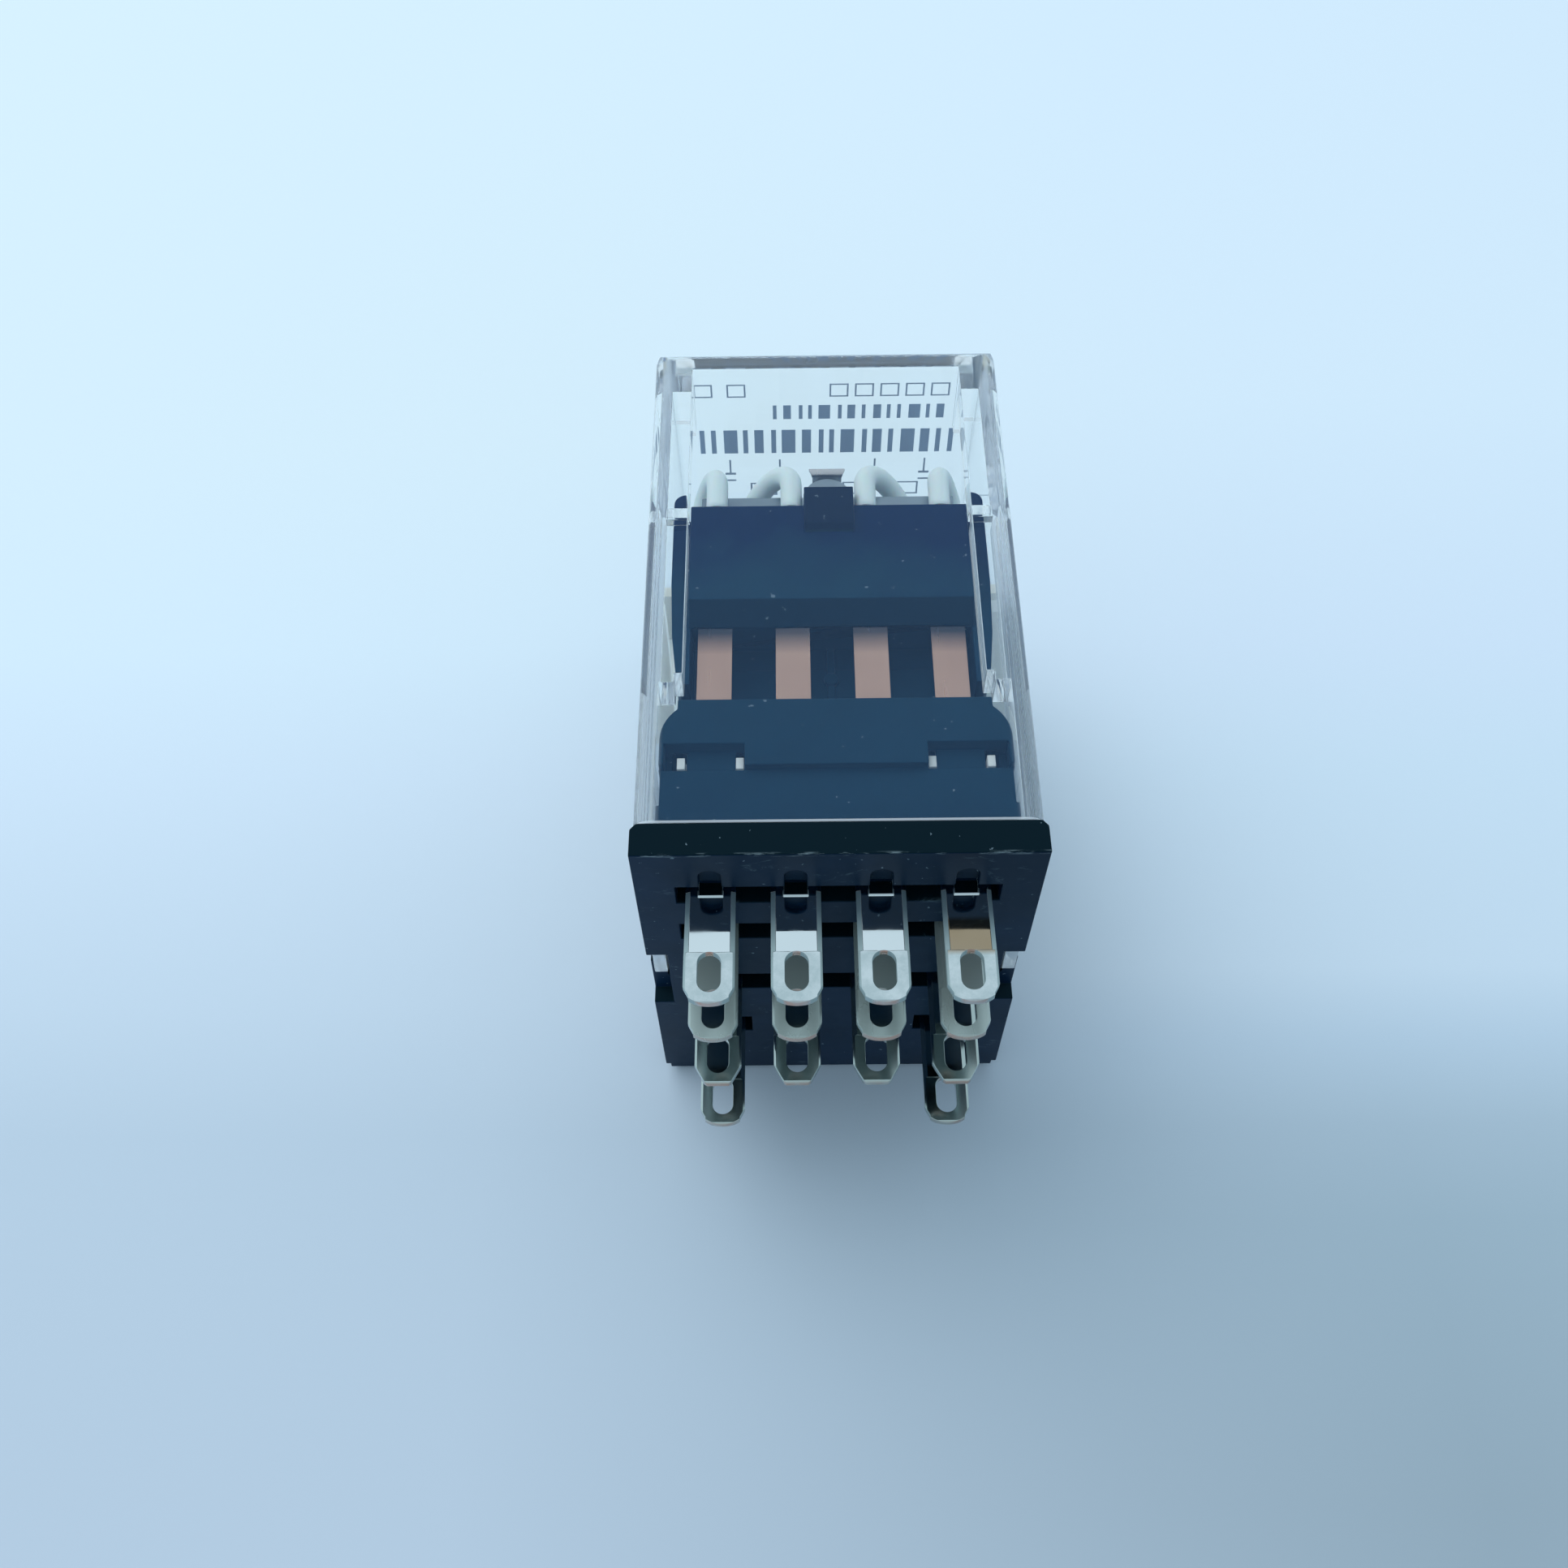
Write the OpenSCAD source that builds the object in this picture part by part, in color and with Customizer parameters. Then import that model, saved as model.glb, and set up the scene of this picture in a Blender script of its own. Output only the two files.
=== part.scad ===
// Plug-in power relay with four changeover contacts and a clear cover.
// The relay lies on its narrow front face: X is the width, Y runs from the
// terminals to the closed end of the cover, Z is up from the table.

/* [Cover] */
// Width of the clear cover
case_w = 20.9; // [20.7:0.1:21.0]
// Height of the relay from the table to its upper face
case_h = 27.8; // [27.7:0.1:28.0]
// Distance from the terminal-side face to the closed end
case_len = 35.8; // [35.4:0.1:36.4]
// Thickness of the cover's walls
wall = 0.95; // [0.8:0.05:1.0]
// Radius of the cover's outer corners
case_r = 0.9; // [0.5:0.1:1.2]
// Distance from the middle to the thick corner posts
post_x = 8.22; // [8.2:0.02:8.3]

/* [Base] */
// Width of the base flange
flange_w = 21.1; // [21.0:0.1:21.5]
// Thickness of the base flange
flange_t = 1.9; // [1.8:0.1:2.0]
// Depth of the grooves in the terminal face
groove_d = 1.2; // [0.8:0.1:1.4]

/* [Terminals] */
// Length of a terminal outside the base
term_len = 6.4; // [6.0:0.1:7.0]
// Width of a terminal
term_w = 2.6; // [2.4:0.05:2.6]
// Thickness of a terminal
term_t = 0.5; // [0.4:0.05:0.5]
// Distance between neighbouring columns
pitch = 4.4; // [4.4:0.01:4.42]
// Fall of a terminal's upper face towards the base, in degrees
term_fall = 3.6; // [0:0.1:3.8]
// Width of the soldering eyelet
eye_w = 1.2; // [1.0:0.1:1.3]
// Length of the soldering eyelet
eye_l = 2.2; // [1.8:0.1:2.3]
// Height of the normally closed row
z_nc = 24.0; // [23.9:0.1:24.1]
// Height of the normally open row
z_no = 19.5; // [19.4:0.1:19.6]
// Height of the common row
z_com = 13.4; // [13.3:0.1:13.5]
// Height of the coil row
z_coil = 7.0; // [6.8:0.1:7.2]

/* [Contacts] */
// Width of a moving spring
spring_w = 1.95; // [1.8:0.05:2.0]
// Thickness of a moving spring
spring_t = 0.15; // [0.12:0.01:0.2]
// Height of the moving springs at rest
z_spring = 24.2; // [24.18:0.01:24.22]
// Radius of a contact head
head_r = 0.75; // [0.6:0.05:0.8]
// Distance of the moving contacts from the terminal face
contact_y = 8.2; // [8.1:0.1:8.3]

/* [Coil] */
// Height of the coil's axis
coil_z = 9.4; // [9.3:0.05:9.45]
// Radius of the core
core_r = 3.0; // [2.8:0.1:3.1]
// Outer radius of the winding
wind_r = 6.35; // [5.8:0.05:6.4]

/* [Leads] */
// Radius of a sleeved lead
lead_r = 0.64; // [0.56:0.02:0.66]

/* [Hidden] */
$fn = 48;
y0 = -(case_len - term_len) / 2;   // puts the origin under the middle of the part
xs = [-1.5 * pitch, -0.5 * pitch, 0.5 * pitch, 1.5 * pitch];
hw = case_w / 2;
fw = flange_w / 2;
top_in = case_h - wall;            // inner face of the upper wall
end_in = case_len - 1.1;           // inner face of the closed end
z_nc_in = 25.3;                    // inner height of the closed contacts' blades
z_no_in = 22.4;                    // inner height of the open contacts' blades
z_com_in = 17.6;                   // inner height of the common blades
no_y = contact_y - 0.9;            // the moving contact slides this far as it closes
block_z = 25.6;                    // front face of the moving block
block_y = 24.62;                    // upper face of the moving block
hinge_y = 25.85;
hinge_z = 2.4;
arm_y = 25.9;                      // underside of the armature's upper leg
arm_t = 1.0;

module place() { translate([0, y0, 0]) children(); }

// box from one corner to the other
module bx(a, b) { translate(a) cube([b[0] - a[0], b[1] - a[1], b[2] - a[2]]); }
// box mirrored to both sides of the middle plane
module both() { children(); mirror([1, 0, 0]) children(); }

// prism with its section in Y and Z, from x = -w/2 to w/2
module yz(pts, w) { rotate([90, 0, 90]) translate([0, 0, -w / 2]) linear_extrude(w) polygon(pts); }
// prism with its section in X and Y, from z1 to z2
module xy(pts, z1, z2) { translate([0, 0, z1]) linear_extrude(z2 - z1) polygon(pts); }
// prism with its section in X and Z, from y1 to y2
module xz(pts, y1, y2) { translate([0, y2, 0]) rotate([90, 0, 0]) linear_extrude(y2 - y1) polygon(pts); }

// rectangle with round corners
module rrect(w, h, r) {
    square([w - 2 * r, h], center = true);
    square([w, h - 2 * r], center = true);
    for (i = [-1, 1], j = [-1, 1]) translate([i * (w / 2 - r), j * (h / 2 - r)]) circle(r);
}

// ---------------------------------------------------------------- cover
module case() {
    color([0.85, 0.93, 0.98, 0.35]) place() difference() {
        union() {
            intersection() {
                // long edges
                translate([0, case_len, case_h / 2]) rotate([90, 0, 0]) linear_extrude(case_len - flange_t) rrect(case_w, case_h, case_r);
                // edges of the closed end, seen from above
                linear_extrude(case_h) translate([0, case_len - 20]) rrect(case_w, 40, case_r);
                // edges of the closed end, seen from the side
                rotate([90, 0, 90]) translate([case_len - 20, case_h / 2, -15]) linear_extrude(30) rrect(40, case_h, case_r);
            }
            // latch tabs that hook into the notches of the flange
            both() bx([hw - 0.95, 0.2, 14.05], [hw - 0.2, flange_t + 0.5, 16.45]);
        }
        difference() {
            bx([-hw + wall, -1, wall], [hw - wall, end_in, top_in]);
            // thick corner posts beside the upper face
            both() bx([post_x, 11.65, 24.6], [hw, end_in + 1, top_in + 1]);
            both() bx([post_x + 0.45, 11.05, 24.6], [hw, 11.66, top_in + 1]);
            // gussets in the corners of the closed end
            both() bx([post_x, end_in - 0.7, 21.8], [hw, end_in + 1, 24.7]);
            // tabs stay solid
            both() bx([hw - 0.96, -1, 14.05], [hw, flange_t + 0.5, 16.45]);
        }
        // cross notch in each corner post
        both() bx([post_x - 0.1, 23.15, 24.5], [hw - wall, 24.05, 25.5]);
    }
}

// ---------------------------------------------------------------- base
// outline of one blade, widened by g on every side
module step_blade(x, z1, z2, ytop, g) {
    w = term_w / 2 + g;
    t = term_t / 2 + g;
    bx([x - w, -term_len - g, z1 - t], [x + w, 2.5 + g, z1 + t]);
    bx([x - w, 2.0 - g, min(z1, z2) - t], [x + w, 2.5 + g, max(z1, z2) + t]);
    bx([x - w, 2.0 - g, z2 - t], [x + w, ytop + g, z2 + t]);
}

module base_solid() {
    // flange, with a small chamfer at the ends of its upper edge
    bx([-fw + 0.3, 0, 0.4], [fw - 0.3, flange_t, case_h]);
    xy([[-fw, 0], [-fw, flange_t - 0.35], [-fw + 0.3, flange_t], [fw - 0.3, flange_t], [fw, flange_t - 0.35], [fw, 0]], 0.9, case_h);
    // floor inside the cover
    bx([-9.3, flange_t - 0.1, 1.2], [9.3, 4.1, 21.0]);
    // contact housing with round shoulders
    difference() {
        union() {
            xy([[-9.42, 1.8], [-9.42, 3.75], [-9.25, 3.75], [-9.25, 6.1], [9.25, 6.1], [9.25, 3.75], [9.42, 3.75], [9.42, 1.8]], 17.5, 26.1);
            translate([0, 0, 20.2]) linear_extrude(26.65 - 20.2) union() {
                polygon([[-9.3, 5.87], [-9.3, 7.5], [9.3, 7.5], [9.3, 5.87]]);
                polygon([[-8.4, 5.87], [-8.4, 10.02], [8.4, 10.02], [8.4, 5.87]]);
                intersection() {
                    for (s = [-1, 1]) translate([s * 6.8, 7.5]) circle(2.5);
                    translate([-10, 7.4]) square([20, 2.62]);
                }
            }
        }
        // one cell for each pole
        for (x = xs) bx([x - 1.7, 4.1, 21.3], [x + 1.7, 12, 25.58]);
        // the outer cells are wider
        both() bx([4.8, 4.6, 21.3], [8.65, 8.6, 25.58]);
        // windows over the outer poles, with a tongue over each blade
        both() difference() {
            bx([4.81, 5.87, 25.2], [9.05, 7.21, 27]);
            bx([5.27, 5.8, 25.58], [7.88, 7.3, 25.8]);
            xy([[4.7, 7.0], [4.7, 7.3], [5.15, 7.3]], 25.58, 25.8);
        }
    }
    // insulating wall behind the springs, with lower wings under the block's cheeks
    difference() {
        union() {
            bx([-7.9, 1.9, 20.2], [7.9, 21.6, 21.1]);
            bx([-8.9, 1.9, 19.8], [8.9, 19.8, 20.55]);
        }
        both() bx([7.95, 9.4, 19], [8.75, 14.1, 22]);
        both() bx([4.45, 9.4, 19], [5.2, 14.1, 22]);
    }
    // lower band and centre rib of the wall
    bx([-7.9, 9.6, 20.9], [7.9, 15.78, 21.35]);
    bx([-0.22, 9.6, 20.9], [0.22, 19.1, 21.55]);
    translate([0, 14.9, 20.9]) cylinder(r = 0.42, h = 0.8);
}

module base() {
    color([0.08, 0.09, 0.12]) place() difference() {
        base_solid();
        // side notches for the cover's latch tabs
        both() bx([9.39, -1, 13.9], [12, 3.0, 16.6]);
        // pockets under the notches
        both() bx([9.4, -1, 10.4], [12, 1.0, 13.95]);
        // grooves for the four rows
        bx([-8.45, -1, 22.75], [8.45, groove_d, 24.44]);
        bx([-8.45, -1, 18.63], [8.45, groove_d, 20.33]);
        bx([-8.45, -1, 12.21], [8.45, groove_d, 14.06]);
        both() bx([4.88, -1, 6.1], [8.0, groove_d, 8.1]);
        // arched pockets over the first row
        for (x = xs) {
            bx([x - 0.58, -1, 24.4], [x + 0.58, 0.38, 25.55]);
            translate([x, 0.38, 25.55]) rotate([90, 0, 0]) cylinder(r = 0.58, h = 2);
        }
        // seats for the blades
        for (x = xs) {
            step_blade(x, z_nc, z_nc_in, 12, 0.02);
            step_blade(x, z_no, z_no_in, 12, 0.02);
            step_blade(x, z_com, z_com_in, 12, 0.02);
        }
        for (x = [xs[0], xs[3]]) bx([x - term_w / 2 - 0.02, -1, z_coil - term_t / 2 - 0.02], [x + term_w / 2 + 0.02, 6, z_coil + term_t / 2 + 0.02]);
    }
}

// ---------------------------------------------------------------- terminals
// the part of a terminal outside the base: coined edges, eyelet and shaped tip
module blade_out(x, z, sharp) {
    w = term_w / 2;
    t = term_t / 2;
    b = 0.25;   // width of the coined edge
    d = 0.12;   // depth of the coined edge
    translate([x, 0, z]) difference() {
        intersection() {
            if (sharp) xy([[-w, 1], [-w, -5.3], [-w + 0.55, -term_len + 0.12], [-w + 0.7, -term_len], [w - 0.7, -term_len], [w - 0.55, -term_len + 0.12], [w, -5.3], [w, 1]], -t, t);
            else intersection() {
                xy([[-w, 1], [-w, -5.45], [-w + 0.28, -5.95], [-w + 0.28, -7], [w - 0.28, -7], [w - 0.28, -5.95], [w, -5.45], [w, 1]], -t, t);
                union() {
                    bx([-w, -5.0, -t], [w, 1, t]);
                    translate([0, -term_len + 1.75, -t]) cylinder(r = 1.75, h = 2 * t);
                }
            }
            union() {
                intersection() {
                    xz([[-w, -t + d], [-w + b, -t], [w - b, -t], [w, -t + d], [w, 1], [-w, 1]], -3.62, 2);
                    // the upper face falls a little towards the base
                    translate([0, -3.62, t]) rotate([-term_fall, 0, 0]) translate([0, 3.62, -t])
                        xz([[-w, -1], [w, -1], [w, t - d], [w - b, t], [-w + b, t], [-w, t - d]], -4, 3);
                }
                xz([[-w, -t + 0.06], [-w + 0.12, -t], [w - 0.12, -t], [w, -t + 0.06], [w, t - 0.06], [w - 0.12, t], [-w + 0.12, t], [-w, t - 0.06]], -8, -3.6);
            }
            yz([[-term_len, -t + 0.08], [-term_len + 0.12, -t], [1, -t], [1, t], [-term_len + 0.12, t], [-term_len, t - 0.08]], 2 * w);
        }
        // eyelet with round ends
        bx([-eye_w / 2, -5.77 + eye_w / 2, -1], [eye_w / 2, -5.77 + eye_l - eye_w / 2, 1]);
        for (y = [-5.77 + eye_w / 2, -5.77 + eye_l - eye_w / 2]) translate([0, y, -1]) cylinder(r = eye_w / 2, h = 2);
    }
}
// the part of a stepped terminal inside the base
module blade_in(x, z1, z2, ytop, zc, yc) {
    w = term_w / 2;
    t = term_t / 2;
    difference() {
        union() {
            bx([x - w, 0.9, z1 - t], [x + w, 2.5, z1 + t]);
            bx([x - w, 2.0, min(z1, z2) - t], [x + w, 2.5, max(z1, z2) + t]);
            bx([x - w, 2.0, z2 - t], [x + w, ytop, z2 + t]);
        }
        if (yc > 0) translate([x, yc, z2 - 1]) cylinder(r = 0.45, h = 2);
    }
}
module nc_terminal(i) {
    color([0.85, 0.86, 0.86]) place() difference() {
        union() {
            blade_out(xs[i], z_nc, false);
            blade_in(xs[i], z_nc, z_nc_in, 9.4, 0, contact_y);
            // raised edge round the punched slot
            bx([xs[i] - 0.66, -0.33, z_nc], [xs[i] + 0.66, -0.02, z_nc + term_t / 2 - 0.10]);
            // the outer blades are wider in front of the housing's windows
            if (i == 0 || i == 3) {
                bx([xs[i] - 1.77, 5.0, z_nc_in - term_t / 2], [xs[i] + 1.75, 6.6, z_nc_in + term_t / 2]);
                for (e = [xs[i] - 1.77, xs[i] + 1.33]) bx([e, 5.92, z_nc_in - term_t / 2], [e + 0.42, 6.6, 26.15]);
            }
        }
        // punched slot at the root
        bx([xs[i] - 0.6, -0.26, z_nc - 1], [xs[i] + 0.6, 0.95, z_nc + 0.6]);
    }
}
module no_terminal(i) {
    color([0.83, 0.84, 0.82]) place() {
        blade_out(xs[i], z_no, false);
        blade_in(xs[i], z_no, z_no_in, 8.5, 0, no_y);
    }
}
module com_terminal(i) {
    color([0.80, 0.82, 0.80]) place() {
        blade_out(xs[i], z_com, true);
        blade_in(xs[i], z_com, z_com_in, 14.6, 0, 0);
    }
}
module coil_terminal(i) {
    w = term_w / 2;
    t = term_t / 2;
    color([0.80, 0.82, 0.82]) place() {
        blade_out(xs[i], z_coil, false);
        bx([xs[i] - w, 0.9, z_coil - t], [xs[i] + w, 4.6, z_coil + t]);
        // narrow soldering tail beside the coil
        bx([xs[i] + sign(xs[i]) * 1.7 - 0.4, 3.9 + 0.25, z_coil - t], [xs[i] + sign(xs[i]) * 1.7 + 0.4, 9.0, z_coil + t]);
        bx([min(xs[i], xs[i] + sign(xs[i]) * 2.1), 4.15, z_coil - t], [max(xs[i], xs[i] + sign(xs[i]) * 2.1), 4.6, z_coil + t]);
    }
}
// fixed contacts: a head towards the moving spring and a shank through the blade
module nc_contacts() {
    color([0.86, 0.85, 0.80]) place() for (x = xs) translate([x, contact_y, 0]) {
        translate([0, 0, z_nc_in - term_t / 2 - 0.3]) cylinder(r = head_r, h = 0.3);
        translate([0, 0, z_nc_in - term_t / 2 - 0.1]) cylinder(r = 0.43, h = 0.6);
    }
}
module no_contacts() {
    color([0.86, 0.85, 0.80]) place() for (x = xs) translate([x, no_y, 0]) {
        translate([0, 0, z_no_in + term_t / 2]) cylinder(r = head_r, h = 0.33);
        translate([0, 0, z_no_in - term_t / 2]) cylinder(r = 0.43, h = 0.6);
    }
}

// ---------------------------------------------------------------- magnet
module bobbin() {
    color([0.93, 0.92, 0.86]) place() difference() {
        union() {
            // lower and upper flange
            bx([-7.6, 5.25, 2.6], [7.6, 6.2, 16.2]);
            bx([-8.7, 23.2, 2.6], [8.7, 24.15, 16.2]);
            translate([0, 24.15, coil_z]) rotate([90, 0, 0]) cylinder(r = core_r + 0.75, h = 18.9);
            // arms that carry the indicator board
            both() bx([7.9, 23.2, 4.0], [8.7, 28.4, 7.0]);
            both() bx([7.9, 28.3, 4.6], [8.5, 29.3, 6.4]);
        }
        translate([0, 26, coil_z]) rotate([90, 0, 0]) cylinder(r = core_r + 0.03, h = 24);
        // wire slots in the lower flange
        both() bx([7.0, 5, 8.4], [8, 7, 9.4]);
    }
}
module winding() {
    color([0.62, 0.30, 0.14]) place() translate([0, 23.15, coil_z]) rotate([90, 0, 0]) difference() {
        cylinder(r = wind_r, h = 16.9);
        translate([0, 0, -1]) cylinder(r = core_r + 0.78, h = 20);
    }
}
module coil_tape() {
    color([0.95, 0.90, 0.72]) place() translate([0, 22.9, coil_z]) rotate([90, 0, 0]) difference() {
        cylinder(r = wind_r + 0.15, h = 16.4);
        translate([0, 0, -1]) cylinder(r = wind_r + 0.02, h = 20);
    }
}
module core() {
    color([0.62, 0.63, 0.65]) place() difference() {
        union() {
            translate([0, 24.6, coil_z]) rotate([90, 0, 0]) cylinder(r = core_r, h = 19.4);
            translate([0, 25.35, coil_z]) rotate([90, 0, 0]) cylinder(r = core_r + 0.55, h = 1.15);
            translate([0, 5.3, coil_z]) rotate([90, 0, 0]) cylinder(r = 1.9, h = 1.1);
        }
        // ring groove for the shading ring
        translate([0, 25.6, coil_z]) rotate([90, 0, 0]) difference() {
            cylinder(r = 2.5, h = 0.9);
            translate([0, 0, -1]) cylinder(r = 1.7, h = 3);
        }
    }
}
module shading_ring() {
    color([0.80, 0.45, 0.28]) place() translate([0, 25.32, coil_z]) rotate([90, 0, 0]) difference() {
        cylinder(r = 2.48, h = 0.6);
        translate([0, 0, -1]) cylinder(r = 1.72, h = 3);
    }
}
module yoke() {
    color([0.66, 0.67, 0.69]) place() difference() {
        union() {
            bx([-6.0, 4.15, 1.2], [6.0, hinge_y - 0.05, hinge_z]);
            bx([-6.0, 4.15, 1.2], [6.0, 5.15, 14.6]);
        }
        translate([0, 8, coil_z]) rotate([90, 0, 0]) cylinder(r = 1.93, h = 6);
        // clearance for the tails of the coil terminals
        both() bx([5.2, 4.0, 6.6], [7, 5.3, 7.4]);
        // holes for the return spring's rivets
        for (x = [-1.6, 1.6]) translate([x, 20.1, 0]) cylinder(r = 0.42, h = 4);
    }
}
module coil_wires() {
    color([0.70, 0.35, 0.15]) place() both() {
        translate([8.3, 8.6, z_coil + 0.37]) sphere(0.12);
        translate([8.3, 8.6, z_coil + 0.37]) rotate([0, 0, 0]) cylinder(r = 0.12, h = 1.2);
        translate([8.3, 8.6, z_coil + 1.57]) sphere(0.12);
        translate([8.3, 8.6, z_coil + 1.57]) rotate([0, -90, 0]) cylinder(r = 0.12, h = 1.5);
    }
}

// ---------------------------------------------------------------- armature
module armature() {
    color([0.55, 0.53, 0.52]) place() {
        // front plate, behind the springs
        bx([-7.6, 21.0, 22.9], [7.6, arm_y + arm_t, 23.8]);
        // neck and pole plate of the upper leg
        bx([-2.9, arm_y, 14.3], [2.9, arm_y + arm_t, 23.0]);
        xy([[-6.6, arm_y], [-6.6, arm_y + arm_t], [6.6, arm_y + arm_t], [6.6, arm_y]], 1.5, 13.4);
        bx([-4.6, arm_y, 13.3], [4.6, arm_y + arm_t, 14.4]);
        // tongue with a round end
        bx([-1.4, arm_y + arm_t - 0.1, 22.9], [1.4, 27.2, 23.8]);
        intersection() {
            translate([0, 27.0, 22.9]) cylinder(r = 1.4, h = 0.9);
            bx([-2, 27.0, 22], [2, 30, 25]);
        }
    }
}
module moving_block() {
    color([0.07, 0.08, 0.11]) place() difference() {
        union() {
            yz([[16.55, 22.2], [16.55, 24.4], [17.69, block_z], [block_y, block_z], [block_y, 22.2]], 2 * 8.1);
            // centre rib
            yz([[22.4, block_z - 0.1], [22.9, 26.0], [25.72, 26.0], [25.72, 24.5], [24.1, 24.5]], 2.9);
            // side cheeks with round upper ends
            both() difference() {
                union() {
                    xy([[8.0, 12.7], [8.5, 12.7], [8.72, 12.95], [8.98, 15.4], [9.12, 19], [9.12, 25.1], [8.42, 25.1], [8.42, block_y], [8.0, block_y]], 21.4, 24.3);
                    intersection() {
                        translate([8.42, 25.1, 21.4]) cylinder(r = 0.7, h = 2.9);
                        bx([8.42, 25.0, 21], [10, 28, 25]);
                    }
                }
            }
        }
        // seats of the plate and of the springs
        bx([-7.62, 20.98, 22.88], [7.62, 30, 23.82]);
        for (x = xs) bx([x - spring_w / 2 - 0.02, 10, z_spring - 0.02], [x + spring_w / 2 + 0.02, 30, z_spring + spring_t + 0.02]);
    }
}
module spring(i) {
    color([0.86, 0.60, 0.48]) place() difference() {
        bx([xs[i] - spring_w / 2, 6.9, z_spring], [xs[i] + spring_w / 2, 25.3, z_spring + spring_t]);
        translate([xs[i], contact_y, z_spring - 1]) cylinder(r = 0.37, h = 2);
        // the blade is slit below the block so that both halves touch alone
        bx([xs[i] - 0.1, 6, z_spring - 1], [xs[i] + 0.1, 7.2, z_spring + 1]);
    }
}
module moving_contacts() {
    color([0.88, 0.87, 0.82]) place() for (x = xs) translate([x, contact_y, 0]) {
        translate([0, 0, z_spring + spring_t]) cylinder(r = head_r, h = 0.33);
        translate([0, 0, z_spring - 0.35]) cylinder(r = head_r, h = 0.35);
        translate([0, 0, z_spring - 0.1]) cylinder(r = 0.35, h = 0.4);
    }
}
// leaf that runs from the back of the yoke over the armature to its tongue
module return_spring() {
    color([0.58, 0.54, 0.55]) place() difference() {
        union() {
            bx([-2.6, 18.2, 1.0], [2.6, 23.6, 1.18]);
            bx([-1.0, 23.5, 1.0], [1.0, 27.22, 1.18]);
            bx([-1.0, 27.04, 1.0], [1.0, 27.22, 22.7]);
            bx([-0.9, 27.04, 22.55], [0.9, 28.6, 22.73]);
            bx([-0.9, 28.42, 22.55], [0.9, 28.6, 24.08]);
            xy([[-0.88, 28.42], [-1.1, 28.95], [1.1, 28.95], [0.88, 28.42]], 23.9, 24.08);
        }
        for (x = [-1.6, 1.6]) translate([x, 20.1, 0]) cylinder(r = 0.42, h = 4);
    }
}
module spring_rivets() {
    color([0.75, 0.75, 0.76]) place() for (x = [-1.6, 1.6]) {
        translate([x, 20.1, 0.96]) cylinder(r = 0.4, h = hinge_z - 0.96);
        translate([x, 20.1, 0.96]) cylinder(r = 0.4, h = 0.2);
    }
}

// ---------------------------------------------------------------- leads
// points along a lead: up from its spring, over the plate, down behind it
function arc_pt(xa, xb, za, zb, y, k) = let (c = cos(k), h = sin(k), d = norm([xb - xa, zb - za]) / 2)
    [(xa + xb) / 2 - (xb - xa) / 2 * c, y + d * h, (za + zb) / 2 - (zb - za) / 2 * c];
module ball(p, r) { translate(p) sphere(r, $fn = 10); }
module chain(pts, r) { for (k = [0 : len(pts) - 2]) hull() { ball(pts[k], r); ball(pts[k + 1], r); } }
module lead(i) {
    s = sign(xs[i]);
    outer = (i == 0 || i == 3);
    xa = xs[i];
    xb = xs[i] + s * (outer ? 1.15 : 2.6);
    xm = xb - s * (outer ? 0.2 : 0.6);
    za = 25.0;
    zb = 21.75;
    ys = 26.62;
    pts = concat([[xa, 25.35, za]], [for (k = [0 : 20 : 180]) arc_pt(xa, xb, za, zb, ys, k)],
        [[xm, 22.8, 19.35], [xa, 15.4, 18.6]]);
    color([0.93, 0.92, 0.84]) place() {
        chain(pts, lead_r);
        // stripped end on the common blade
        chain([[xa, 15.4, 18.6], [xa, 13.4, 18.12]], 0.24);
    }
}

// ---------------------------------------------------------------- suppressor and lamp
module indicator_board() {
    color([0.25, 0.42, 0.30]) place() difference() {
        bx([-8.9, 28.42, 1.6], [8.9, 29.2, 11.6]);
        both() bx([7.88, 28, 4.58], [8.52, 30, 6.42]);
    }
}
module capacitor() {
    color([0.20, 0.36, 0.62]) place() {
        intersection() {
            bx([-7.2, 29.6, 2.2], [0.4, 34.1, 10.8]);
            translate([-3.4, 31.85, 6.5]) rotate([0, 90, 0]) translate([0, 0, -3.8]) linear_extrude(7.6) rrect(8.6, 4.5, 0.8);
        }
        for (x = [-5.9, -0.9]) translate([x, 29.22, 6.5]) rotate([-90, 0, 0]) cylinder(r = 0.3, h = 1);
    }
}
module resistor() {
    color([0.45, 0.60, 0.72]) place() {
        translate([4.6, 30.5, 3.1]) cylinder(r = 0.85, h = 1.0);
        translate([4.6, 30.5, 4.1]) cylinder(r = 0.7, h = 2.2);
        translate([4.6, 30.5, 6.3]) cylinder(r = 0.85, h = 1.0);
        translate([4.6, 30.5, 2.5]) cylinder(r = 0.22, h = 5.4);
        for (z = [2.6, 7.8]) translate([4.6, 29.22, z]) rotate([-90, 0, 0]) cylinder(r = 0.22, h = 1.45);
    }
}
module lamp() {
    color([0.80, 0.22, 0.18]) place() {
        translate([2.6, 33.2, 9.4]) rotate([90, 0, 0]) cylinder(r = 1.0, h = 2.6);
        translate([2.6, 33.2, 9.4]) sphere(1.0);
        translate([2.6, 30.9, 9.4]) rotate([90, 0, 0]) cylinder(r = 1.2, h = 0.5);
        for (x = [2.1, 3.1]) translate([x, 30.5, 9.4]) rotate([90, 0, 0]) cylinder(r = 0.2, h = 1.28);
    }
}

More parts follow.
